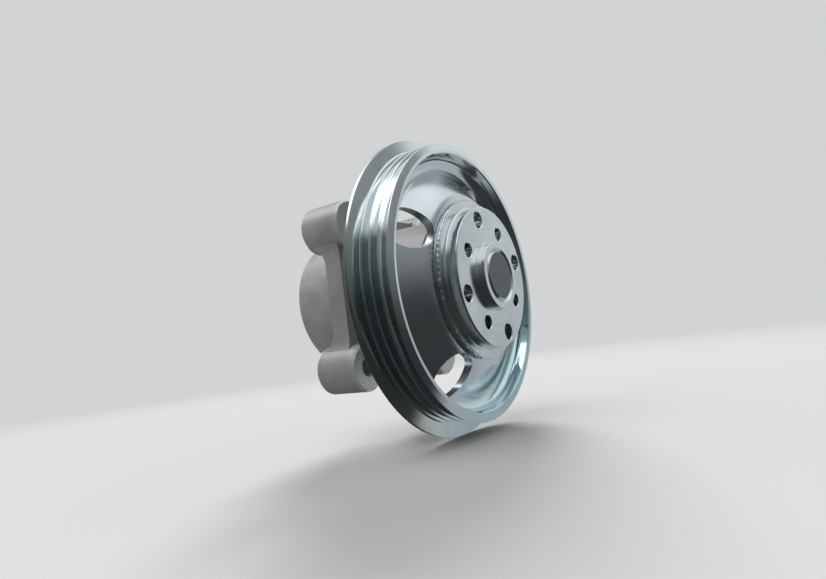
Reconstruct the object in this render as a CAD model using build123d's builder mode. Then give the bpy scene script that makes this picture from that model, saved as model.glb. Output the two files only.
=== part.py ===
"""Engine water pump: flanged die-cast housing, sealed shaft bearing, face seal, impeller,
press-formed poly-V pulley and its hub.

The shaft lies along Y. The origin is on the shaft axis, in the plane of the four mounting
lugs that meet the engine. The pulley is on the -Y side, the impeller on the +Y side, +Z is up.
A turned profile is a list of corners (radius, y, corner rounding), all in millimetres.
"""

import math
import os

from build123d import *

# Poly-V pulley, PK section
CREST_R = 53.0
RIB_PITCH = 3.56
GROOVE_COUNT = 3
GROOVE_DEPTH = 2.6
GROOVE_HALF_ANGLE = 20
GROOVE_ROOT_HALF = 0.45
RIM_INNER_R = 48.9
RIM_FLAT_R = 50.3
RIM_FRONT_Y = -51.9
RIM_EDGE_CHAMFER = 0.4
FIRST_CREST_Y = -51.2
FLANGE_R = 57.8
FLANGE_FRONT_Y = -38.8
FLANGE_REAR_Y = -37.6
FLANGE_ROOT_LAND = 0.3
REAR_BEND_INSET = 1.3
WEB_FRONT_Y = -53.26
WEB_THICKNESS = 2.7
WEB_FLAT_R = 31.8
WEB_SLOPE = 0.743
WEB_HOLE_R = 25.0
WINDOW_R = 7.7
WINDOW_CENTRE_R = 38.4
WINDOW_ANGLE = 61.5

# Hub pressed on the shaft
HUB_FACE_Y = -60.15
HUB_R = 26.4
HUB_FLANGE_R = 29.5
HUB_FLANGE_Y = -55.5
HUB_SPIGOT_R = 12.5
HUB_SPIGOT_Y = -63.1
HUB_BOSS_R = 15.0
HUB_REAR_Y = -48.4
HUB_EDGE_CHAMFER = 0.9
LARGE_HOLE_R = 3.0
LARGE_HOLE_CENTRE_R = 21.8
LARGE_HOLE_ANGLE = 106.5
SMALL_HOLE_R = 2.5
SMALL_HOLE_CENTRE_R = 18.95
SMALL_HOLE_ANGLE = 61.5
HOLE_COUNTERSINK = 0.3

# Integral-shaft bearing: a roller row at the pulley end, a ball row at the seal end
SHAFT_R = 9.48
SHAFT_REAR_R = 7.96
SHAFT_STEP_Y = -3.5
SHAFT_END_Y = 19.8
SHAFT_END_CHAMFER = 0.5
SHAFT_STEP_TAPER = 0.6
RING_R = 19.05
RING_BORE_R = 14.25
RING_FRONT_Y = -46.4
RING_REAR_Y = -7.5
RUNNING_GAP = 0.05
BALL_R = 3.5
BALL_COUNT = 9
BALL_ROW_Y = -16.5
ROLLER_R = 2.5
ROLLER_LENGTH = 12.0
ROLLER_COUNT = 12
ROLLER_ROW_Y = -36.0
PITCH_R = SHAFT_R + RUNNING_GAP + ROLLER_R
ROLLER_TRACK_R = PITCH_R + ROLLER_R + RUNNING_GAP
CAGE_INNER_R = 10.6
CAGE_OUTER_R = 13.4
CAGE_POCKET_GAP = 0.12
BALL_CAGE_LENGTH = 8.8
ROLLER_CAGE_LENGTH = 15.2
TRACK_END_GAP = 0.2
LIP_SEAT_R = 15.3
LIP_SEAT_DEPTH = 2.2
LIP_SETBACK = 0.3
LIP_DISC_THICKNESS = 1.2
LIP_LENGTH = 0.6
LIP_ROOT_WIDTH = 1.2
LIP_TIP_WIDTH = 0.5
LIP_LEAN = 0.3

# Housing
LUG_SPACING = 54.3
LUG_R = 9.2
LUG_FRONT_Y = -18.0
LUG_HOLE_R = 3.3
LUG_HOLE_COUNTERSINK = 0.5
LUG_BLEND_R = 6.0
LUG_EDGE_CHAMFER = 0.9
PLATE_FRONT_Y = -14.3
PLATE_REAR_Y = -6.9
PLATE_SIDE = 64.0
PLATE_EAR_R = 8.8
PLATE_WAIST_R = 9.0
BODY_OVERLAP = 5.0
NECK_FRONT_R = 25.4
NECK_FRONT_Y = -45.4
NECK_ROOT_R = 25.9
NECK_BLEND_R = 3.0
PILOT_R = 26.8
PILOT_BLEND_R = 3.5
PILOT_DRAFT = 0.5
PILOT_REAR_Y = 14.85
CUT_OVERRUN = 1.0
BORE_LEAD_WIDTH = 1.6
BORE_LEAD_DEPTH = 0.6
RECESS_LEAD_WIDTH = 1.3
RECESS_LEAD_DEPTH = 0.3
WEEP_CHAMBER_R = 16.8
WEEP_HOLE_R = 2.25
WEEP_HOLE_Y = -3.0
SEAL_BORE_R = 18.25
SEAL_BORE_Y = 0.6
RECESS_R = 23.0
RECESS_Y = 7.2
O_RING_R = 24.95
O_RING_WIRE_R = 0.89
O_RING_GROOVE_WIDTH = 2.0
O_RING_GROOVE_DEPTH = 1.5

# Slinger, face seal and impeller
SLINGER_Y = -5.6
SLINGER_R = 14.0
SLINGER_SHEET = 0.7
SLINGER_RIM_LENGTH = 1.8
SLINGER_STEP_GAP = 0.4
CASE_SHEET = 0.7
CASE_INNER_R = 11.6
CASE_FLANGE_R = 20.4
BELLOWS_INNER_R = 11.2
BELLOWS_TUBE_R = 12.3
BELLOWS_HEAD_Y = 5.4
CARBON_R = 13.6
CARBON_INNER_R = 10.4
CARBON_FRONT_Y = 6.4
CARBON_STEP_Y = 9.4
CARBON_LIP_R = 12.6
CARBON_LIP_INNER_R = 10.8
CARBON_LIP_Y = 10.2
RETAINER_R = 16.8
RETAINER_SHEET = 0.6
RETAINER_REAR_Y = 8.8
SPRING_R = 15.6
SPRING_WIRE_R = 0.42
SPRING_TURNS = 3
SPRING_FRONT_Y = 2.3
SPRING_REAR_Y = 6.2
MATING_R = 14.0
MATING_INNER_R = 9.2
MATING_REAR_Y = 12.6
CUP_REAR_Y = 13.5
RING_POCKET_R = 15.2
IMPELLER_R = 21.8
IMPELLER_BOSS_R = 17.0
DISC_TAPER = 1.2
IMPELLER_BOSS_Y = 10.9
DISC_FRONT_Y = 11.6
DISC_REAR_Y = 15.0
BLADE_REAR_Y = 19.2
BLADE_COUNT = 6
BLADE_THICKNESS = 1.7
BLADE_SWEEP = 42
BLADE_BEND = 0.36
BLADE_OVERLAP = 0.5
BLADE_END_GAP = 0.2
IMPELLER_HUB_R = 12.4
IMPELLER_HUB_DRAFT = 0.6
BUSH_PROUD = 0.4
BUSH_R = 10.0


def corner_points(corners):
    """The (radius, y) places of a turned profile."""
    return [(radius, y) for radius, y, rounding in corners]


def corner_roundings(corners):
    """The corner radii of a turned profile."""
    return [rounding for radius, y, rounding in corners]


def turned(corners):
    """A solid of revolution about the shaft axis."""
    with BuildPart() as body:
        with BuildSketch(Plane.XY):
            with BuildLine():
                FilletPolyline(*corner_points(corners), radius=corner_roundings(corners), close=True)
            make_face()
        revolve(axis=Axis.Y)
    return body.part


def save(part, name):
    """Labels a finished piece and writes its STEP file."""
    part.label = name
    export_step(part, f"parts/{name}.step")


os.makedirs("parts", exist_ok=True)


# Pulley: one sheet pressing with a domed web and four round windows
def groove_corners(index):
    """One V groove, from its front crest edge to its rear crest edge."""
    centre = FIRST_CREST_Y + (index + 0.5) * RIB_PITCH
    opening_half = GROOVE_ROOT_HALF + GROOVE_DEPTH * math.tan(math.radians(GROOVE_HALF_ANGLE))
    root_r = CREST_R - GROOVE_DEPTH
    return [
        (CREST_R, centre - opening_half, 0.2),
        (root_r, centre - GROOVE_ROOT_HALF, 0.3),
        (root_r, centre + GROOVE_ROOT_HALF, 0.3),
        (CREST_R, centre + opening_half, 0.2),
    ]


last_crest_y = FIRST_CREST_Y + GROOVE_COUNT * RIB_PITCH
web_corner_y = WEB_FRONT_Y + WEB_SLOPE * (RIM_INNER_R - WEB_FLAT_R)
web_shift_y = WEB_THICKNESS * math.hypot(1, WEB_SLOPE)
web_rear_y = WEB_FRONT_Y + WEB_THICKNESS
web_rear_flat_r = WEB_FLAT_R - (web_shift_y - WEB_THICKNESS) / WEB_SLOPE
rear_bend_r = RIM_INNER_R - REAR_BEND_INSET
rear_bend_y = WEB_FRONT_Y + web_shift_y + WEB_SLOPE * (rear_bend_r - WEB_FLAT_R)

pulley_corners = [
    (WEB_HOLE_R, WEB_FRONT_Y, 0),
    (WEB_FLAT_R, WEB_FRONT_Y, 6),
    (RIM_INNER_R, web_corner_y, 4),
    (RIM_INNER_R, RIM_FRONT_Y + RIM_EDGE_CHAMFER, 0),
    (RIM_INNER_R + RIM_EDGE_CHAMFER, RIM_FRONT_Y, 0),
    (RIM_FLAT_R, RIM_FRONT_Y, 2.0),
    (CREST_R, FIRST_CREST_Y, 0.25),
]
for groove in range(GROOVE_COUNT):
    pulley_corners += groove_corners(groove)
pulley_corners += [
    (CREST_R, last_crest_y + FLANGE_ROOT_LAND, 0.4),
    (FLANGE_R, FLANGE_FRONT_Y, 0.25),
    (FLANGE_R, FLANGE_REAR_Y, 0.25),
    (rear_bend_r, rear_bend_y, 3),
    (web_rear_flat_r, web_rear_y, 6),
    (WEB_HOLE_R, web_rear_y, 0),
]

with BuildPart() as pulley:
    with BuildSketch(Plane.XY):
        with BuildLine():
            FilletPolyline(
                *corner_points(pulley_corners), radius=corner_roundings(pulley_corners), close=True
            )
        make_face()
    revolve(axis=Axis.Y)
    with BuildSketch(Plane.XZ.offset(-FLANGE_REAR_Y)):
        with PolarLocations(WINDOW_CENTRE_R, 4, WINDOW_ANGLE):
            Circle(WINDOW_R)
    extrude(amount=CREST_R, both=True, mode=Mode.SUBTRACT)
save(pulley.part, "pulley")


# Hub: a turned flange with a centring spigot and two rings of four holes
hub_corners = [
    (SHAFT_R, HUB_SPIGOT_Y + HUB_EDGE_CHAMFER, 0),
    (SHAFT_R + HUB_EDGE_CHAMFER, HUB_SPIGOT_Y, 0),
    (HUB_SPIGOT_R, HUB_SPIGOT_Y, 0.35),
    (HUB_SPIGOT_R, HUB_FACE_Y, 0.4),
    (HUB_R, HUB_FACE_Y, 0.6),
    (HUB_R, HUB_FLANGE_Y, 0.8),
    (HUB_FLANGE_R, HUB_FLANGE_Y, 0.3),
    (HUB_FLANGE_R, WEB_FRONT_Y, 0),
    (WEB_HOLE_R, WEB_FRONT_Y, 0),
    (WEB_HOLE_R, web_rear_y, 0.3),
    (HUB_BOSS_R, web_rear_y, 0.8),
    (HUB_BOSS_R, HUB_REAR_Y, 0.5),
    (SHAFT_R, HUB_REAR_Y, 0),
]
hub_thickness = web_rear_y - HUB_FACE_Y

with BuildPart() as pulley_hub:
    with BuildSketch(Plane.XY):
        with BuildLine():
            FilletPolyline(
                *corner_points(hub_corners), radius=corner_roundings(hub_corners), close=True
            )
        make_face()
    revolve(axis=Axis.Y)
    with Locations(Plane.XZ.offset(-HUB_FACE_Y)):
        with PolarLocations(LARGE_HOLE_CENTRE_R, 4, LARGE_HOLE_ANGLE):
            CounterSinkHole(LARGE_HOLE_R, LARGE_HOLE_R + HOLE_COUNTERSINK, hub_thickness, 90)
        with PolarLocations(SMALL_HOLE_CENTRE_R, 4, SMALL_HOLE_ANGLE):
            CounterSinkHole(SMALL_HOLE_R, SMALL_HOLE_R + HOLE_COUNTERSINK, hub_thickness, 90)
save(pulley_hub.part, "pulley_hub")


# Shaft: one ground bar that is also the inner race of both bearing rows
shaft_corners = [
    (0, HUB_SPIGOT_Y, 0),
    (SHAFT_R - HUB_EDGE_CHAMFER, HUB_SPIGOT_Y, 0),
    (SHAFT_R, HUB_SPIGOT_Y + HUB_EDGE_CHAMFER, 0),
    (SHAFT_R, SHAFT_STEP_Y, 0.3),
    (SHAFT_REAR_R, SHAFT_STEP_Y + SHAFT_STEP_TAPER, 0),
    (SHAFT_REAR_R, SHAFT_END_Y - SHAFT_END_CHAMFER, 0),
    (SHAFT_REAR_R - SHAFT_END_CHAMFER, SHAFT_END_Y, 0),
    (0, SHAFT_END_Y, 0),
]
race_r = BALL_R + RUNNING_GAP

with BuildPart() as bearing_shaft:
    with BuildSketch(Plane.XY):
        with BuildLine():
            FilletPolyline(
                *corner_points(shaft_corners), radius=corner_roundings(shaft_corners), close=True
            )
        make_face()
    revolve(axis=Axis.Y)
    with BuildSketch(Plane.XY):
        with Locations((PITCH_R, BALL_ROW_Y)):
            Circle(race_r)
    revolve(axis=Axis.Y, mode=Mode.SUBTRACT)
save(bearing_shaft.part, "bearing_shaft")


# Bearing outer ring with a ball groove, a roller track and a seat for a lip seal at each end
with BuildPart() as bearing_outer_ring:
    with BuildSketch(Plane.XY):
        with BuildLine():
            FilletPolyline(
                (RING_BORE_R, RING_FRONT_Y),
                (RING_R, RING_FRONT_Y),
                (RING_R, RING_REAR_Y),
                (RING_BORE_R, RING_REAR_Y),
                radius=(0, 0.6, 0.6, 0),
                close=True,
            )
        make_face()
        with Locations((PITCH_R, BALL_ROW_Y)):
            Circle(race_r, mode=Mode.SUBTRACT)
        with Locations((ROLLER_TRACK_R / 2, ROLLER_ROW_Y)):
            Rectangle(ROLLER_TRACK_R, ROLLER_LENGTH + 2 * TRACK_END_GAP, mode=Mode.SUBTRACT)
        for seat_centre_y in (RING_FRONT_Y + LIP_SEAT_DEPTH / 2, RING_REAR_Y - LIP_SEAT_DEPTH / 2):
            with Locations((LIP_SEAT_R / 2, seat_centre_y)):
                Rectangle(LIP_SEAT_R, LIP_SEAT_DEPTH, mode=Mode.SUBTRACT)
    revolve(axis=Axis.Y)
save(bearing_outer_ring.part, "bearing_outer_ring")


# Ball row and its pocketed cage
with BuildPart() as bearing_balls:
    with Locations(Plane.XZ.offset(-BALL_ROW_Y)):
        with PolarLocations(PITCH_R, BALL_COUNT):
            Sphere(BALL_R)
save(bearing_balls.part, "bearing_balls")

with BuildPart() as ball_cage:
    with BuildSketch(Plane.XZ.offset(-BALL_ROW_Y)):
        Circle(CAGE_OUTER_R)
        Circle(CAGE_INNER_R, mode=Mode.SUBTRACT)
    extrude(amount=BALL_CAGE_LENGTH / 2, both=True)
    for ball in range(BALL_COUNT):
        angle = math.radians(360 / BALL_COUNT * ball)
        outward = (math.cos(angle), 0, math.sin(angle))
        with BuildSketch(Plane(origin=(0, BALL_ROW_Y, 0), z_dir=outward)):
            Circle(BALL_R + CAGE_POCKET_GAP)
        extrude(amount=CAGE_OUTER_R + BALL_R, mode=Mode.SUBTRACT)
save(ball_cage.part, "ball_cage")


# Roller row and its cage
with BuildPart() as bearing_rollers:
    with BuildSketch(Plane.XZ.offset(-ROLLER_ROW_Y)):
        with PolarLocations(PITCH_R, ROLLER_COUNT):
            Circle(ROLLER_R)
    extrude(amount=ROLLER_LENGTH / 2, both=True)
    chamfer(bearing_rollers.edges().filter_by(GeomType.CIRCLE), 0.3)
save(bearing_rollers.part, "bearing_rollers")

with BuildPart() as roller_cage:
    with BuildSketch(Plane.XZ.offset(-ROLLER_ROW_Y)):
        Circle(CAGE_OUTER_R)
        Circle(CAGE_INNER_R, mode=Mode.SUBTRACT)
    extrude(amount=ROLLER_CAGE_LENGTH / 2, both=True)
    with BuildSketch(Plane.XZ.offset(-ROLLER_ROW_Y)):
        with PolarLocations(PITCH_R, ROLLER_COUNT):
            Circle(ROLLER_R + CAGE_POCKET_GAP)
    extrude(amount=ROLLER_LENGTH / 2 + CAGE_POCKET_GAP, both=True, mode=Mode.SUBTRACT)
save(roller_cage.part, "roller_cage")


# Lip seals pressed into the ends of the outer ring: a flat disc with a lip that leans inwards
def lip_seal_corners(outer_face_y, inward):
    """A lip seal set back a little from the ring's end face; inward is +1 or -1 along Y."""
    front = outer_face_y + inward * LIP_SETBACK
    back = front + inward * LIP_DISC_THICKNESS
    lip_tip = back + inward * LIP_LENGTH
    lip_r = SHAFT_R + RUNNING_GAP
    return [
        (LIP_SEAT_R, front, 0),
        (LIP_SEAT_R, back, 0),
        (lip_r + LIP_ROOT_WIDTH, back, 0),
        (lip_r + LIP_TIP_WIDTH, lip_tip, 0),
        (lip_r, lip_tip, 0),
        (lip_r + LIP_LEAN, front, 0),
    ]


save(turned(lip_seal_corners(RING_FRONT_Y, 1)), "front_bearing_seal")
save(turned(lip_seal_corners(RING_REAR_Y, -1)), "rear_bearing_seal")


# Slinger: a pressed washer on the shaft that throws off seepage in the weep chamber
slinger_rim_y = SLINGER_Y + SLINGER_RIM_LENGTH
slinger_sleeve_y = SHAFT_STEP_Y - SLINGER_STEP_GAP
slinger_corners = [
    (SHAFT_R, SLINGER_Y, 0),
    (SLINGER_R, SLINGER_Y, 0.3),
    (SLINGER_R, slinger_rim_y, 0),
    (SLINGER_R - SLINGER_SHEET, slinger_rim_y, 0),
    (SLINGER_R - SLINGER_SHEET, SLINGER_Y + SLINGER_SHEET, 0),
    (SHAFT_R + SLINGER_SHEET, SLINGER_Y + SLINGER_SHEET, 0),
    (SHAFT_R + SLINGER_SHEET, slinger_sleeve_y, 0),
    (SHAFT_R, slinger_sleeve_y, 0),
]
save(turned(slinger_corners), "slinger")


# Housing: bearing neck, mounting plate with four lugs, and pilot with the impeller recess
body_corners = [
    (0, NECK_FRONT_Y, 0),
    (NECK_FRONT_R, NECK_FRONT_Y, 1.0),
    (NECK_ROOT_R, PLATE_FRONT_Y, NECK_BLEND_R),
    (NECK_ROOT_R + BODY_OVERLAP, PLATE_FRONT_Y, 0),
    (NECK_ROOT_R + BODY_OVERLAP, PLATE_REAR_Y, 0),
    (PILOT_R + PILOT_DRAFT, PLATE_REAR_Y, PILOT_BLEND_R),
    (PILOT_R, 0, 1),
    (PILOT_R, PILOT_REAR_Y, 0.8),
    (0, PILOT_REAR_Y, 0),
]
bore_corners = [
    (0, NECK_FRONT_Y - CUT_OVERRUN, 0),
    (RING_R + BORE_LEAD_WIDTH, NECK_FRONT_Y - CUT_OVERRUN, 0),
    (RING_R, NECK_FRONT_Y + BORE_LEAD_DEPTH, 0),
    (RING_R, RING_REAR_Y, 0),
    (WEEP_CHAMBER_R, RING_REAR_Y, 0),
    (WEEP_CHAMBER_R, SEAL_BORE_Y, 0),
    (SEAL_BORE_R, SEAL_BORE_Y, 0),
    (SEAL_BORE_R, RECESS_Y, 0),
    (RECESS_R, RECESS_Y, 0.6),
    (RECESS_R, PILOT_REAR_Y - RECESS_LEAD_DEPTH, 0),
    (RECESS_R + RECESS_LEAD_WIDTH, PILOT_REAR_Y + CUT_OVERRUN, 0),
    (0, PILOT_REAR_Y + CUT_OVERRUN, 0),
]

# A lug meets the back of the plate in a concave blend, trimmed to the plate's outline
lug_blend_step = 0.1
lug_blend_y = PLATE_REAR_Y + lug_blend_step
lug_blend_end_y = lug_blend_y + LUG_BLEND_R + 0.5
lug_blend_corners = [
    (0, PLATE_REAR_Y, 0),
    (LUG_R + LUG_BLEND_R, PLATE_REAR_Y, 0),
    (LUG_R + LUG_BLEND_R, lug_blend_y, 0),
    (LUG_R - lug_blend_step, lug_blend_y, LUG_BLEND_R),
    (LUG_R - lug_blend_step, lug_blend_end_y, 0),
    (0, lug_blend_end_y, 0),
]
lug_half = LUG_SPACING / 2
lug_centres = [(x, 0, z) for x in (-lug_half, lug_half) for z in (-lug_half, lug_half)]

with BuildSketch(Plane.XZ) as plate_outline:
    Rectangle(PLATE_SIDE, PLATE_SIDE)
    with GridLocations(LUG_SPACING, LUG_SPACING, 2, 2):
        Circle(PLATE_EAR_R)
    waist_corners = [
        corner
        for corner in plate_outline.vertices()
        if max(abs(corner.X), abs(corner.Z)) < PLATE_SIDE / 2 + 1
    ]
    fillet(waist_corners, PLATE_WAIST_R)

with BuildPart() as lug_blends:
    with Locations(lug_centres):
        add(turned(lug_blend_corners))
    with BuildSketch(Plane.XZ.offset(-PLATE_REAR_Y)):
        add(plate_outline.sketch_local)
    extrude(amount=PLATE_REAR_Y, mode=Mode.INTERSECT)

with BuildPart() as lugs:
    with BuildSketch(Plane.XZ):
        with GridLocations(LUG_SPACING, LUG_SPACING, 2, 2):
            Circle(LUG_R)
    extrude(amount=-LUG_FRONT_Y)
    chamfer(lugs.edges().filter_by(GeomType.CIRCLE), LUG_EDGE_CHAMFER)

with BuildPart() as pump_housing:
    with BuildSketch(Plane.XZ.offset(-PLATE_REAR_Y)):
        add(plate_outline.sketch_local)
    extrude(amount=PLATE_REAR_Y - PLATE_FRONT_Y)
    add(lug_blends.part)
    add(lugs.part)
    with BuildSketch(Plane.XY):
        with BuildLine():
            FilletPolyline(
                *corner_points(body_corners), radius=corner_roundings(body_corners), close=True
            )
        make_face()
    revolve(axis=Axis.Y)
    with BuildSketch(Plane.XY):
        with BuildLine():
            FilletPolyline(
                *corner_points(bore_corners), radius=corner_roundings(bore_corners), close=True
            )
        make_face()
    revolve(axis=Axis.Y, mode=Mode.SUBTRACT)
    with BuildSketch(Plane.XZ.offset(-PILOT_REAR_Y)):
        Circle(O_RING_R + O_RING_GROOVE_WIDTH / 2)
        Circle(O_RING_R - O_RING_GROOVE_WIDTH / 2, mode=Mode.SUBTRACT)
    extrude(amount=O_RING_GROOVE_DEPTH, mode=Mode.SUBTRACT)
    with Locations(Plane.XZ.offset(-LUG_FRONT_Y)):
        with GridLocations(LUG_SPACING, LUG_SPACING, 2, 2):
            CounterSinkHole(LUG_HOLE_R, LUG_HOLE_R + LUG_HOLE_COUNTERSINK, -LUG_FRONT_Y, 90)
    with BuildSketch(Plane.XY):
        with Locations((0, WEEP_HOLE_Y)):
            Circle(WEEP_HOLE_R)
    extrude(amount=-(PILOT_R + BODY_OVERLAP), mode=Mode.SUBTRACT)
save(pump_housing.part, "pump_housing")


# O-ring in the rear face of the pilot
with BuildPart() as face_o_ring:
    with BuildSketch(Plane.XY):
        with Locations((O_RING_R, PILOT_REAR_Y - O_RING_GROOVE_DEPTH + O_RING_WIRE_R)):
            Circle(O_RING_WIRE_R)
    revolve(axis=Axis.Y)
save(face_o_ring.part, "face_o_ring")


# Face seal, fixed half: a pressed case, a rubber bellows, a spring and the carbon face
case_bottom_y = SEAL_BORE_Y + CASE_SHEET
case_wall_r = SEAL_BORE_R - CASE_SHEET
case_corners = [
    (CASE_INNER_R, SEAL_BORE_Y, 0),
    (SEAL_BORE_R, SEAL_BORE_Y, 0.5),
    (SEAL_BORE_R, RECESS_Y, 0),
    (CASE_FLANGE_R, RECESS_Y, 0),
    (CASE_FLANGE_R, RECESS_Y + CASE_SHEET, 0.2),
    (case_wall_r, RECESS_Y + CASE_SHEET, 0.4),
    (case_wall_r, case_bottom_y, 0),
    (CASE_INNER_R, case_bottom_y, 0),
]
save(turned(case_corners), "seal_case")

bellows_corners = [
    (BELLOWS_INNER_R, case_bottom_y, 0),
    (case_wall_r, case_bottom_y, 0),
    (case_wall_r, SPRING_FRONT_Y, 0.3),
    (BELLOWS_TUBE_R, SPRING_FRONT_Y, 0.5),
    (BELLOWS_TUBE_R, BELLOWS_HEAD_Y, 0.5),
    (CARBON_R, BELLOWS_HEAD_Y, 0.3),
    (CARBON_R, CARBON_FRONT_Y, 0),
    (BELLOWS_INNER_R, CARBON_FRONT_Y, 0),
]
save(turned(bellows_corners), "seal_bellows")

spring_pitch = (SPRING_REAR_Y - SPRING_FRONT_Y - 2 * SPRING_WIRE_R) / SPRING_TURNS
with BuildPart() as seal_spring:
    with BuildLine() as coil:
        Helix(
            spring_pitch,
            spring_pitch * SPRING_TURNS,
            SPRING_R,
            center=(0, SPRING_FRONT_Y + SPRING_WIRE_R, 0),
            direction=(0, 1, 0),
        )
    with BuildSketch(Plane(origin=coil.line @ 0, z_dir=coil.line % 0)):
        Circle(SPRING_WIRE_R)
    sweep(is_frenet=True)
save(seal_spring.part, "seal_spring")

retainer_sleeve_r = CARBON_R + RETAINER_SHEET
retainer_corners = [
    (CARBON_R, SPRING_REAR_Y, 0),
    (RETAINER_R, SPRING_REAR_Y, 0),
    (RETAINER_R, SPRING_REAR_Y + RETAINER_SHEET, 0.2),
    (retainer_sleeve_r, SPRING_REAR_Y + RETAINER_SHEET, 0.3),
    (retainer_sleeve_r, RETAINER_REAR_Y, 0),
    (CARBON_R, RETAINER_REAR_Y, 0),
]
save(turned(retainer_corners), "spring_retainer")

carbon_corners = [
    (CARBON_INNER_R, CARBON_FRONT_Y, 0),
    (CARBON_R, CARBON_FRONT_Y, 0),
    (CARBON_R, CARBON_STEP_Y, 0.2),
    (CARBON_LIP_R, CARBON_STEP_Y, 0),
    (CARBON_LIP_R, CARBON_LIP_Y, 0),
    (CARBON_LIP_INNER_R, CARBON_LIP_Y, 0),
    (CARBON_LIP_INNER_R, CARBON_STEP_Y, 0),
    (CARBON_INNER_R, CARBON_STEP_Y, 0),
]
save(turned(carbon_corners), "carbon_face")


# Face seal, turning half: a ceramic ring in a rubber cup in the impeller's front boss
mating_front_y = CARBON_LIP_Y + RUNNING_GAP
mating_corners = [
    (MATING_INNER_R, mating_front_y, 0),
    (MATING_R, mating_front_y, 0.2),
    (MATING_R, MATING_REAR_Y, 0),
    (MATING_INNER_R, MATING_REAR_Y, 0),
]
save(turned(mating_corners), "mating_ring")

cup_corners = [
    (MATING_INNER_R, MATING_REAR_Y, 0),
    (MATING_R, MATING_REAR_Y, 0),
    (MATING_R, IMPELLER_BOSS_Y, 0),
    (RING_POCKET_R, IMPELLER_BOSS_Y, 0.3),
    (RING_POCKET_R, CUP_REAR_Y, 0),
    (MATING_INNER_R, CUP_REAR_Y, 0),
]
save(turned(cup_corners), "mating_ring_cup")


# Impeller: an open wheel with backward-curved blades, moulded on a brass bush
hub_rear_y = BLADE_REAR_Y - BUSH_PROUD
impeller_corners = [
    (BUSH_R, CUP_REAR_Y, 0),
    (RING_POCKET_R, CUP_REAR_Y, 0),
    (RING_POCKET_R, IMPELLER_BOSS_Y, 0),
    (IMPELLER_BOSS_R, IMPELLER_BOSS_Y, 0.3),
    (IMPELLER_BOSS_R, DISC_FRONT_Y, 0),
    (IMPELLER_R, DISC_FRONT_Y + DISC_TAPER, 0.4),
    (IMPELLER_R, DISC_REAR_Y, 0.3),
    (IMPELLER_HUB_R, DISC_REAR_Y, 0.8),
    (IMPELLER_HUB_R - IMPELLER_HUB_DRAFT, hub_rear_y, 0.4),
    (BUSH_R, hub_rear_y, 0),
]
blade_root_r = IMPELLER_HUB_R - 2 * BLADE_OVERLAP
blade_mid_r = (blade_root_r + IMPELLER_R) / 2


def polar(radius, angle):
    """A point in the wheel's plane."""
    return (radius * math.cos(math.radians(angle)), radius * math.sin(math.radians(angle)))


with BuildSketch() as blade:
    with BuildLine():
        ThreePointArc(
            polar(blade_root_r, 0),
            polar(blade_mid_r, BLADE_SWEEP * BLADE_BEND),
            polar(IMPELLER_R + CUT_OVERRUN, BLADE_SWEEP),
        )
    trace(line_width=BLADE_THICKNESS)

with BuildPart() as impeller:
    with BuildSketch(Plane.XY):
        with BuildLine():
            FilletPolyline(
                *corner_points(impeller_corners),
                radius=corner_roundings(impeller_corners),
                close=True,
            )
        make_face()
    revolve(axis=Axis.Y)
    with BuildSketch(Plane.XZ.offset(BLADE_OVERLAP - DISC_REAR_Y)):
        with PolarLocations(0, BLADE_COUNT):
            add(blade.sketch)
        Circle(IMPELLER_R - BLADE_END_GAP, mode=Mode.INTERSECT)
        Circle(BUSH_R + 2 * BLADE_OVERLAP, mode=Mode.SUBTRACT)
    extrude(amount=DISC_REAR_Y - BLADE_REAR_Y - BLADE_OVERLAP)
save(impeller.part, "impeller")

bush_corners = [
    (SHAFT_REAR_R, CUP_REAR_Y, 0),
    (BUSH_R, CUP_REAR_Y, 0),
    (BUSH_R, BLADE_REAR_Y, 0.3),
    (SHAFT_REAR_R, BLADE_REAR_Y, 0),
]
save(turned(bush_corners), "impeller_bush")
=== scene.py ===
"""Looks of the water pump: procedural materials, the bead round the hub, a pale studio, the camera."""

import math
import random

import bmesh
import bpy
from mathutils import Matrix, Vector


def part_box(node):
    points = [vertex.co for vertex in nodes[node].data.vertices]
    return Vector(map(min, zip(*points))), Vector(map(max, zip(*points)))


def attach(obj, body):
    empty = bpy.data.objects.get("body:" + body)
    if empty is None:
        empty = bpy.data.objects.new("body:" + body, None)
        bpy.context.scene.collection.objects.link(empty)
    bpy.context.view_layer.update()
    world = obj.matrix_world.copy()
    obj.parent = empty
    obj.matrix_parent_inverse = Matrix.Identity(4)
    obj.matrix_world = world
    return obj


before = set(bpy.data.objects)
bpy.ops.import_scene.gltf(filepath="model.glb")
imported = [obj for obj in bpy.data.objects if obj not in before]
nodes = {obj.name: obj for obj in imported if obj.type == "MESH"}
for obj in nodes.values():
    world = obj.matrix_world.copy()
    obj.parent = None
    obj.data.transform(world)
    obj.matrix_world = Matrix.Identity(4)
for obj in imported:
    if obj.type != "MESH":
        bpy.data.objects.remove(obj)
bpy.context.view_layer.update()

MM = 0.001

# ---------------------------------------------------------------- sizes
pulley_low, pulley_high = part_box("pulley")
hub_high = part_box("pulley_hub")[1]
shaft_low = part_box("bearing_shaft")[0]
housing_low, housing_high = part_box("pump_housing")

FLANGE_OVER_CREST = 4.8 * MM
CREST_R = pulley_high.x - FLANGE_OVER_CREST
WEB_FRONT_Y = pulley_low.y
SHAFT_FRONT_Y = shaft_low.y
LUG_FRONT_Y = -18.0 * MM
LUG_REAR_Y = 0.0
LUG_MIDDLE_Y = (LUG_FRONT_Y + LUG_REAR_Y) / 2
NECK_FRONT_Y = housing_low.y
PILOT_REAR_Y = housing_high.y
PILOT_R = 26.8 * MM

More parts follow.
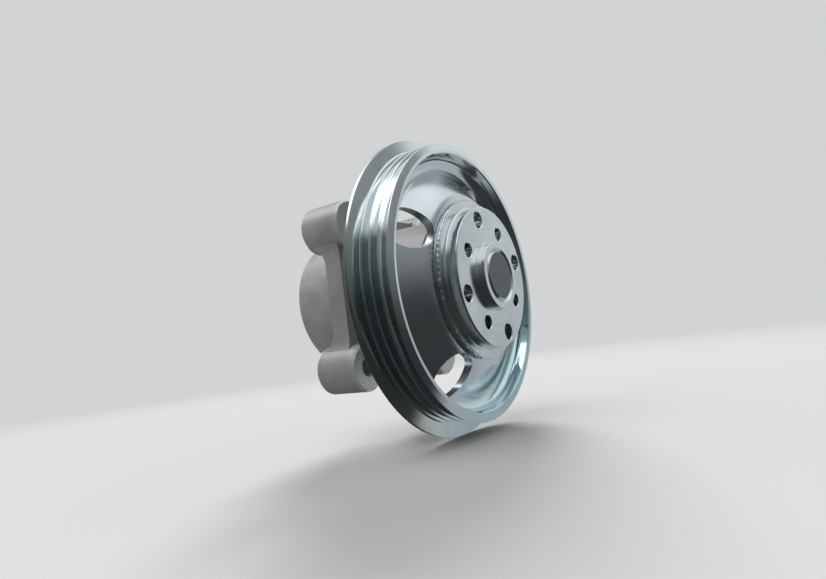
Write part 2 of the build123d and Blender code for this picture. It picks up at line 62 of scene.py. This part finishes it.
# The bead lies in the corner between the hub's flange and the pulley's web
BEAD_R = hub_high.x + 0.15 * MM
BEAD_Y = WEB_FRONT_Y - 1.41 * MM
BEAD_THICKNESS = 0.62 * MM
BEAD_SWELL = 0.13 * MM
BEAD_RIPPLE = 0.10 * MM
BEAD_WANDER = 0.08 * MM
BEAD_FLATNESS = 0.85
BEAD_WAVES = 90
SECTIONS_PER_WAVE = 6
SECTION_CORNERS = 8

# The camera stands in front of the pulley, well to its left and a little low
RIM_CENTRE = Vector((0.0, -51.4, 0.0)) * MM
EYE_FROM_RIM_CENTRE = Vector((-193.7, -103.3, -19.8)) * MM
VIEW_HEADING = 34.1
VIEW_TILT = 5.05
VIEW_ROLL = 7.4
SENSOR_MM = 36.0
FOCAL_MM = 25.13

# The floor is flat near the pump and rises into a bowl far away
FLOOR_Z = pulley_low.z - 0.2 * MM
RING_STEP = 0.05
FLAT_RINGS = 28
FLAT_R = RING_STEP * FLAT_RINGS
BOWL_R = 1.6
BOWL_RINGS = 12
BOWL_TOP = 3.2
FLOOR_TURNS = 96

# Paper is lit by the lamps inside LIT_R and glows evenly outside GLOW_R
LIT_R = 0.30
GLOW_R = 0.75
BACKDROP_GLOW = 0.66

# How bright the parts of the mirrored room are, and the plain light on everything else
ROOM_GLOW = 0.27
CEILING_GLOW = 0.72
SIDE_WALL_GLOW = 0.45
REAR_WALL_GLOW = 0.20
PANE_GLOW = 1.5
LEAST_GLOW = 0.042
AMBIENT = 0.12


# ---------------------------------------------------------------- node-tree helpers
class NodeGraph:
    """Builds a node tree step by step."""

    def __init__(self, tree):
        self.tree = tree

    def node(self, kind, **inputs):
        made = self.tree.nodes.new(kind)
        for name, value in inputs.items():
            self.feed(made.inputs[name], value)
        return made

    def feed(self, socket, value):
        """Links another socket, or sets a constant on the socket itself."""
        if isinstance(value, bpy.types.NodeSocket):
            self.tree.links.new(value, socket)
        else:
            socket.default_value = value

    def math(self, operation, first, second=0.0):
        made = self.tree.nodes.new("ShaderNodeMath")
        made.operation = operation
        self.feed(made.inputs[0], first)
        self.feed(made.inputs[1], second)
        return made.outputs[0]

    def total(self, first, *others):
        for other in others:
            first = self.math("ADD", first, other)
        return first

    def product(self, first, *others):
        for other in others:
            first = self.math("MULTIPLY", first, other)
        return first

    def ramp(self, value, low, high, from_low=0.0, from_high=1.0, kind="SMOOTHSTEP"):
        """Eases from low to high while value goes from from_low to from_high."""
        made = self.tree.nodes.new("ShaderNodeMapRange")
        made.interpolation_type = kind
        for socket, number in zip(made.inputs[:5], (value, from_low, from_high, low, high)):
            self.feed(socket, number)
        return made.outputs["Result"]

    def mix(self, factor, first, second):
        made = self.tree.nodes.new("ShaderNodeMix")
        made.data_type = "RGBA"
        self.feed(made.inputs["Factor"], factor)
        colours = [socket for socket in made.inputs if socket.type == "RGBA"]
        self.feed(colours[0], first)
        self.feed(colours[1], second)
        return [socket for socket in made.outputs if socket.type == "RGBA"][0]

    def blend(self, first, second, value, from_low, from_high, most=1.0):
        """Turns from the first colour towards the second while value rises."""
        return self.mix(self.ramp(value, 0.0, most, from_low, from_high), first, second)


class Surface(NodeGraph):
    """A node material around one Principled shader."""

    def __init__(self, name):
        self.material = bpy.data.materials.new(name)
        self.material.use_nodes = True
        super().__init__(self.material.node_tree)
        self.tree.nodes.clear()
        output = self.tree.nodes.new("ShaderNodeOutputMaterial")
        self.shader = self.tree.nodes.new("ShaderNodeBsdfPrincipled")
        self.feed(output.inputs["Surface"], self.shader.outputs["BSDF"])
        self.place = self.node("ShaderNodeTexCoord").outputs["Object"]
        self.x, self.y, self.z = self.node("ShaderNodeSeparateXYZ", Vector=self.place).outputs
        self.radius = self.length(self.x, self.z)

    def set(self, **values):
        """Constants and links on the shader's own sockets."""
        for name, value in values.items():
            self.feed(self.shader.inputs[name.replace("_", " ")], value)

    def length(self, first, second):
        squares = self.total(self.product(first, first), self.product(second, second))
        return self.math("SQRT", squares)

    def noise(self, scale, detail=2.0, roughness=0.5, place=None, distortion=0.0):
        made = self.node(
            "ShaderNodeTexNoise",
            Vector=self.place if place is None else place,
            Scale=scale,
            Detail=detail,
            Roughness=roughness,
            Distortion=distortion,
        )
        return made.outputs["Fac"]

    def between(self, value, low, high, edge=0.05 * MM):
        """1 where value lies between low and high, with soft edges."""
        above = self.ramp(value, 0.0, 1.0, low - edge, low + edge)
        below = self.ramp(value, 1.0, 0.0, high - edge, high + edge)
        return self.product(above, below)

    def bump(self, height, distance, normal=None):
        made = self.node("ShaderNodeBump", Height=height, Distance=distance, Strength=1.0)
        if normal is not None:
            self.feed(made.inputs["Normal"], normal)
        return made.outputs["Normal"]

    def turning(self, pitch):
        """Fine circular tool marks about the shaft, the same all the way round."""
        step = 1.0 / pitch
        across = self.product(self.radius, step)
        along = self.product(self.y, step)
        place = self.node("ShaderNodeCombineXYZ", X=across, Y=along, Z=0.0).outputs[0]
        return self.noise(1.0, 3.0, 0.6, place)

    def turned_grain(self, amount):
        """Stretches highlights across the circular tool marks."""
        tangent = self.tree.nodes.new("ShaderNodeTangent")
        tangent.direction_type = "RADIAL"
        tangent.axis = "Y"
        self.set(Tangent=tangent.outputs["Tangent"], Anisotropic=amount)


def rgb(red, green, blue):
    return (red, green, blue, 1.0)


def give(material, *names):
    """Puts a material on CAD nodes."""
    for name in names:
        mesh = nodes[name].data
        mesh.materials.clear()
        mesh.materials.append(material)


# ---------------------------------------------------------------- materials
def zinc_colour(s, rim, cloud, stain):
    """Clear zinc plate, pale blue-grey; painted teal and olive reflections at the rim's lower right and
    lower left, painted shade on the flange's sides.
    """
    web_tone = s.blend(rgb(0.66, 0.72, 0.755), rgb(0.79, 0.84, 0.865), cloud, 0.35, 0.65)
    rim_tone = s.blend(rgb(0.62, 0.71, 0.735), rgb(0.78, 0.83, 0.84), cloud, 0.38, 0.62)
    colour = s.mix(rim, web_tone, rim_tone)
    # Painted reflection: teal laid on the rim's lower right in place of the teal the metal mirrors
    # there.
    teal_reflection_side = s.ramp(s.math("SUBTRACT", s.x, s.z), 0.0, 0.75, 15 * MM, 70 * MM)
    colour = s.mix(s.product(teal_reflection_side, rim), colour, rgb(0.38, 0.60, 0.66))
    # Painted reflection: olive patches at the lower left in place of the warm floor the metal mirrors
    # there.
    warm_reflection_side = s.ramp(s.total(s.x, s.z), 1.0, 0.0, -78 * MM, -52 * MM)
    patch = s.ramp(s.noise(17.0), 0.1, 0.8, 0.42, 0.62)
    colour = s.mix(s.product(warm_reflection_side, patch), colour, rgb(0.62, 0.56, 0.42))
    colour = s.blend(colour, rgb(0.80, 0.82, 0.78), stain, 0.60, 0.85, 0.30)
    # Painted shade: the flange turns darker greenish between its top and its foot, in place of the dark
    # it mirrors there.
    flange = s.ramp(s.radius, 0.0, 0.45, CREST_R + 0.3 * MM, CREST_R + 0.9 * MM)
    below_top = s.ramp(s.z, 1.0, 0.0, 5 * MM, 45 * MM)
    above_foot = s.ramp(s.z, 0.0, 1.0, -50 * MM, -35 * MM)
    colour = s.mix(s.product(flange, below_top, above_foot), colour, rgb(0.30, 0.37, 0.37))
    # A lighter band on the rib crests.
    pale_crest_band = s.between(s.radius, CREST_R - 0.12 * MM, CREST_R + 0.2 * MM)
    return s.mix(s.product(pale_crest_band, 0.4), colour, rgb(0.86, 0.89, 0.90))


def zinc_plate():
    """Pressed steel with clear zinc plating: polished on the rim, softer on the web."""
    s = Surface("zinc_plated_pressing")
    rim = s.ramp(s.radius, 0.0, 1.0, CREST_R - 8.5 * MM, CREST_R - 4.0 * MM)
    cloud = s.noise(30.0, 4.0, 0.55, distortion=0.8)
    stain = s.noise(90.0, 3.0)
    marks = s.turning(0.9 * MM)
    smooth = s.ramp(rim, 0.20, 0.05)
    stained = s.ramp(stain, 0.0, 0.05, 0.35, 0.75)
    marked = s.ramp(marks, 0.0, 0.04, 0.35, 0.7)
    ripple = s.bump(s.noise(48.0, 1.0), 0.18 * MM)
    s.set(Base_Color=zinc_colour(s, rim, cloud, stain), Metallic=1.0)
    s.set(Roughness=s.total(smooth, stained, marked))
    s.set(Normal=s.bump(marks, 0.004 * MM, ripple))
    s.turned_grain(0.15)
    return s.material


def turned_zinc():
    """Turned hub, satin, with concentric tool marks."""
    s = Surface("turned_hub")
    marks = s.turning(0.28 * MM)
    coarse = s.turning(1.1 * MM)
    cloud = s.noise(60.0, 4.0, 0.6)
    spots = s.noise(420.0, 4.0, 0.65)
    colour = s.blend(rgb(0.66, 0.72, 0.74), rgb(0.82, 0.85, 0.86), cloud, 0.35, 0.7)
    colour = s.blend(colour, rgb(0.56, 0.61, 0.64), coarse, 0.5, 0.75, 0.40)
    colour = s.blend(colour, rgb(0.50, 0.52, 0.52), spots, 0.62, 0.80, 0.45)
    rough = s.total(s.ramp(cloud, 0.10, 0.18, 0.3, 0.7), s.ramp(marks, 0.0, 0.06, 0.35, 0.7))
    s.set(Base_Color=colour, Metallic=1.0, Roughness=rough)
    s.set(Normal=s.bump(marks, 0.010 * MM, s.bump(coarse, 0.014 * MM)))
    s.turned_grain(0.3)
    return s.material


def shaft_steel():
    """Ground bar; its flat front end is slate grey and faintly ringed, its chamfer is bright."""
    s = Surface("ground_shaft")
    front = s.ramp(s.y, 1.0, 0.0, SHAFT_FRONT_Y + 0.03 * MM, SHAFT_FRONT_Y + 0.10 * MM)
    marks = s.turning(0.9 * MM)
    grain = s.noise(700.0, 4.0, 0.7)
    dark = s.blend(rgb(0.14, 0.155, 0.165), rgb(0.23, 0.25, 0.26), grain, 0.3, 0.7)
    dark = s.blend(dark, rgb(0.30, 0.32, 0.33), marks, 0.55, 0.75, 0.5)
    rough = s.total(s.ramp(front, 0.14, 0.38), s.ramp(grain, 0.0, 0.10, 0.3, 0.7))
    s.set(Base_Color=s.mix(front, rgb(0.66, 0.68, 0.69), dark), Metallic=1.0, Roughness=rough)
    s.set(Normal=s.bump(marks, 0.020 * MM, s.bump(grain, 0.008 * MM)))
    return s.material


def machined_faces(s):
    """1 on the housing's machined faces: both ends of the lugs, the neck's end and the pilot's end."""
    slack = 0.2 * MM
    lug_edge = 0.92 * MM
    end_edge = 0.3 * MM
    bands = [
        s.between(s.y, LUG_FRONT_Y - slack, LUG_FRONT_Y + lug_edge),
        s.between(s.y, LUG_REAR_Y - lug_edge, LUG_REAR_Y + slack),
        s.between(s.y, NECK_FRONT_Y - slack, NECK_FRONT_Y + end_edge),
        s.between(s.y, PILOT_REAR_Y - end_edge, PILOT_REAR_Y + slack),
    ]
    anywhere = bands[0]
    for band in bands[1:]:
        anywhere = s.math("MAXIMUM", anywhere, band)
    outside_pilot = s.ramp(s.radius, 0.0, 1.0, PILOT_R + 0.6 * MM, PILOT_R + 1.0 * MM)
    from_middle = s.math("ABSOLUTE", s.math("SUBTRACT", s.y, LUG_MIDDLE_Y))
    past_lugs = s.math("GREATER_THAN", from_middle, LUG_REAR_Y - LUG_MIDDLE_Y + 1.0 * MM)
    return s.product(anywhere, s.math("MAXIMUM", outside_pilot, past_lugs))


def cast_aluminium():
    """Matt die casting with brighter machined faces and a slightly smoother neck."""
    s = Surface("die_cast_housing")
    grain = s.noise(1500.0, 3.0, 0.65)
    pits = s.noise(520.0, 5.0, 0.7)
    flow = s.noise(45.0, 5.0, 0.6, distortion=1.2)
    before_lugs = s.math("LESS_THAN", s.y, LUG_FRONT_Y - 1.5 * MM)
    neck = s.product(before_lugs, s.math("LESS_THAN", s.radius, PILOT_R))
    cast = s.blend(rgb(0.36, 0.345, 0.345), rgb(0.49, 0.47, 0.47), flow, 0.3, 0.7)
    cast = s.blend(cast, rgb(0.26, 0.25, 0.25), pits, 0.55, 0.8, 0.5)
    cast = s.mix(s.product(neck, 0.3), cast, rgb(0.40, 0.385, 0.385))
    milling = s.noise(2600.0)
    milled = s.blend(rgb(0.58, 0.61, 0.59), rgb(0.74, 0.77, 0.75), milling, 0.35, 0.65)
    machined = machined_faces(s)
    s.set(Base_Color=s.mix(machined, cast, milled), Metallic=0.55)
    s.set(Roughness=s.ramp(s.math("MAXIMUM", machined, s.product(neck, 0.2)), 0.50, 0.16))
    s.set(Normal=s.bump(grain, 0.03 * MM, s.bump(pits, 0.05 * MM)))
    return s.material


def plain_metal(name, colour, rough, mark_pitch=0.4 * MM, depth=0.008 * MM):
    """Bare turned or drawn metal with fine marks and a slightly uneven tone."""
    s = Surface(name)
    marks = s.turning(mark_pitch)
    cloud = s.noise(120.0, 4.0)
    darker = [part * 0.82 for part in colour]
    s.set(Base_Color=s.blend(rgb(*colour), rgb(*darker), cloud, 0.3, 0.7))
    s.set(Metallic=1.0, Roughness=s.ramp(marks, rough, rough + 0.12, 0.3, 0.7))
    s.set(Normal=s.bump(marks, depth))
    return s.material


def moulded(name, colour, rough, grain_scale=1400.0, depth=0.02 * MM, speckle=0.25):
    """Rubber, plastic, carbon or ceramic with a fine grain."""
    s = Surface(name)
    grain = s.noise(grain_scale, 4.0, 0.65)
    cloud = s.noise(90.0, 3.0)
    lighter = [min(1.0, part * (1.0 + speckle) + 0.01) for part in colour]
    s.set(Base_Color=s.blend(rgb(*colour), rgb(*lighter), grain, 0.45, 0.75))
    s.set(Metallic=0.0, Roughness=s.ramp(cloud, rough - 0.05, rough + 0.08, 0.3, 0.7))
    s.set(Normal=s.bump(grain, depth))
    return s.material


give(zinc_plate(), "pulley")
give(turned_zinc(), "pulley_hub")
give(shaft_steel(), "bearing_shaft")
give(cast_aluminium(), "pump_housing")
bearing_steel = plain_metal("bearing_steel", (0.60, 0.60, 0.61), 0.14)
give(bearing_steel, "bearing_outer_ring", "bearing_balls", "bearing_rollers")
sheet_steel = plain_metal("stainless_sheet", (0.62, 0.61, 0.58), 0.22)
give(sheet_steel, "seal_case", "spring_retainer", "seal_spring")
give(plain_metal("zinc_washer", (0.62, 0.66, 0.66), 0.24), "slinger")
give(plain_metal("brass_bush", (0.72, 0.50, 0.22), 0.24), "impeller_bush")
give(moulded("cage_nylon", (0.55, 0.46, 0.28), 0.42), "ball_cage", "roller_cage")
black_rubber = moulded("black_rubber", (0.022, 0.022, 0.023), 0.55, 1800.0, 0.01 * MM, 0.5)
give(black_rubber, "front_bearing_seal", "rear_bearing_seal", "seal_bellows")
give(black_rubber, "mating_ring_cup", "face_o_ring")
carbon = moulded("carbon_graphite", (0.035, 0.035, 0.038), 0.34, 2200.0, 0.006 * MM, 0.6)
give(carbon, "carbon_face")
ceramic = moulded("alumina_ceramic", (0.80, 0.77, 0.69), 0.22, 2600.0, 0.003 * MM, 0.08)
give(ceramic, "mating_ring")
polymer = moulded("impeller_polymer", (0.030, 0.030, 0.031), 0.38, 1100.0, 0.02 * MM, 0.9)
give(polymer, "impeller")


# ---------------------------------------------------------------- the bead round the hub
def scene_object(name, grid, material):
    """Turns a bmesh into a smooth object in the scene."""
    for face in grid.faces:
        face.smooth = True
    mesh = bpy.data.meshes.new(name)
    grid.to_mesh(mesh)
    grid.free()
    mesh.materials.append(material)
    made = bpy.data.objects.new(name, mesh)
    bpy.context.scene.collection.objects.link(made)
    return made


def bead_wave(swell, place):
    """Swell of the bead at a place counted in waves, easing from one random height to the next."""
    before = int(place)
    ease = 0.5 - 0.5 * math.cos(math.pi * (place - before))
    return swell[before % BEAD_WAVES] * (1 - ease) + swell[(before + 1) % BEAD_WAVES] * ease


def make_weld_bead():
    """The rippled bead where the hub's flange meets the pulley's web."""
    chance = random.Random(4)
    swell = [chance.uniform(-1.0, 1.0) for wave in range(BEAD_WAVES)]
    grid = bmesh.new()
    sections = BEAD_WAVES * SECTIONS_PER_WAVE
    loops = []
    for section in range(sections):
        angle = math.tau * section / sections
        place = section / SECTIONS_PER_WAVE
        wave = bead_wave(swell, place)
        thick = BEAD_THICKNESS + BEAD_SWELL * wave + BEAD_RIPPLE * abs(math.sin(math.pi * place))
        loop = []
        for corner in range(SECTION_CORNERS):
            turn = math.tau * corner / SECTION_CORNERS
            radius = BEAD_R + BEAD_WANDER * wave + thick * math.cos(turn)
            y = BEAD_Y + thick * BEAD_FLATNESS * math.sin(turn)
            loop.append(grid.verts.new((radius * math.cos(angle), y, radius * math.sin(angle))))
        loops.append(loop)
    for section, here in enumerate(loops):
        there = loops[(section + 1) % sections]
        for corner in range(SECTION_CORNERS):
            other = (corner + 1) % SECTION_CORNERS
            grid.faces.new((here[corner], here[other], there[other], there[corner]))
    bmesh.ops.recalc_face_normals(grid, faces=grid.faces[:])
    weld_metal = plain_metal("weld_metal", (0.80, 0.84, 0.85), 0.12, 0.9 * MM, 0.02 * MM)
    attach(scene_object("weld_bead", grid, weld_metal), "rotor")


make_weld_bead()


# ---------------------------------------------------------------- camera
def make_camera():
    data = bpy.data.cameras.new("camera")
    data.sensor_width = SENSOR_MM
    data.lens = FOCAL_MM
    data.clip_start = 0.005
    data.clip_end = 50.0
    camera = bpy.data.objects.new("camera", data)
    bpy.context.scene.collection.objects.link(camera)
    heading, tilt, roll = (math.radians(angle) for angle in (VIEW_HEADING, VIEW_TILT, VIEW_ROLL))
    ahead = math.cos(tilt)
    forward = Vector((math.cos(heading) * ahead, math.sin(heading) * ahead, math.sin(tilt)))
    level = Vector((math.sin(heading), -math.cos(heading), 0.0))
    right = Matrix.Rotation(roll, 3, forward) @ level
    up = right.cross(forward)
    rotation = Matrix((right, up, -forward)).transposed()
    camera.matrix_world = Matrix.Translation(RIM_CENTRE + EYE_FROM_RIM_CENTRE) @ rotation.to_4x4()
    bpy.context.scene.camera = camera


make_camera()


# ---------------------------------------------------------------- studio
def paper():
    """Pale paper: lit by the lamps near the pump, evenly bright far away."""
    s = Surface("studio_paper")
    far = s.ramp(s.length(s.x, s.y), 0.0, 1.0, LIT_R, GLOW_R)
    s.set(Base_Color=s.mix(far, rgb(0.66, 0.65, 0.65), rgb(0.0, 0.0, 0.0)), Roughness=0.9)
    s.set(Emission_Color=rgb(0.97, 0.99, 1.0), Emission_Strength=s.product(far, BACKDROP_GLOW))
    s.set(Specular_IOR_Level=0.0)
    return s.material


def make_floor():
    """A round floor that rises far away into a bowl, so no horizon shows."""
    profile = [(RING_STEP * step, 0.0) for step in range(1, FLAT_RINGS + 1)]
    for step in range(1, BOWL_RINGS + 1):
        angle = math.radians(90 * step / BOWL_RINGS)
        profile.append((FLAT_R + BOWL_R * math.sin(angle), BOWL_R - BOWL_R * math.cos(angle)))
    profile.append((FLAT_R + BOWL_R, BOWL_TOP))
    grid = bmesh.new()
    rings = []
    for radius, height in profile:
        ring = []
        for turn in range(FLOOR_TURNS):
            angle = math.tau * turn / FLOOR_TURNS
            place = (radius * math.cos(angle), radius * math.sin(angle), FLOOR_Z + height)
            ring.append(grid.verts.new(place))
        rings.append(ring)
    grid.faces.new(rings[0])
    for inner, outer in zip(rings, rings[1:]):
        for turn in range(FLOOR_TURNS):
            other = (turn + 1) % FLOOR_TURNS
            grid.faces.new((inner[turn], outer[turn], outer[other], inner[other]))
    floor = scene_object("studio_floor", grid, paper())
    floor.visible_glossy = False
    floor.visible_shadow = False


def make_lamp(name, direction, energy, spread):
    """A soft lamp far away in the given direction."""
    data = bpy.data.lights.new(name, "SUN")
    data.energy = energy
    data.angle = math.radians(spread)
    lamp = bpy.data.objects.new(name, data)
    lamp.rotation_mode = "QUATERNION"
    lamp.rotation_quaternion = Vector(direction).to_track_quat("Z", "Y")
    lamp.visible_glossy = False
    bpy.context.scene.collection.objects.link(lamp)


def make_world():
    """What the metal mirrors: a bright ceiling, pale walls, a pane behind, dark below."""
    world = bpy.data.worlds.new("studio_world")
    world.use_nodes = True
    g = NodeGraph(world.node_tree)
    way = g.node("ShaderNodeTexCoord").outputs["Generated"]
    x, y, z = g.node("ShaderNodeSeparateXYZ", Vector=way).outputs
    room = g.product(g.ramp(z, 0.0, ROOM_GLOW, -0.20, 0.55), g.ramp(x, 0.45, 1.0, -0.8, -0.3))
    ceiling = g.ramp(z, 0.0, CEILING_GLOW, 0.60, 0.78)
    towards_side = g.math("SUBTRACT", x, g.product(z, 0.08))
    side_wall = g.ramp(towards_side, 0.0, SIDE_WALL_GLOW, 0.59, 0.72)
    side_reach = g.math("MAXIMUM", g.ramp(y, 1.0, 0.25, 0.0, 0.35), g.ramp(z, 0.25, 1.0, 0.2, 0.5))
    rear_wall = g.ramp(y, 0.0, REAR_WALL_GLOW, 0.72, 0.97)
    towards_pane = g.total(g.product(x, -0.15), g.product(y, 0.57), g.product(z, 0.81))
    pane = g.ramp(towards_pane, 0.0, PANE_GLOW, 0.92, 0.985)
    glow = g.total(room, ceiling, g.product(side_wall, side_reach), rear_wall, pane, LEAST_GLOW)
    seen = g.node("ShaderNodeLightPath").outputs["Is Glossy Ray"]
    background = world.node_tree.nodes["Background"]
    tint = g.blend(rgb(0.92, 0.98, 1.0), rgb(0.97, 0.995, 1.0), z, -0.3, 0.7)
    g.feed(background.inputs["Color"], tint)
    g.feed(background.inputs["Strength"], g.ramp(seen, AMBIENT, glow, kind="LINEAR"))
    bpy.context.scene.world = world


make_floor()
# The main lamp stands behind the pump, so the shadow falls towards the camera
make_lamp("back_lamp", (0.66, 0.38, 0.60), 2.5, 22)
make_lamp("top_left_lamp", (-0.42, 0.10, 0.90), 1.05, 50)
make_world()
bpy.context.scene.view_settings.view_transform = "Standard"
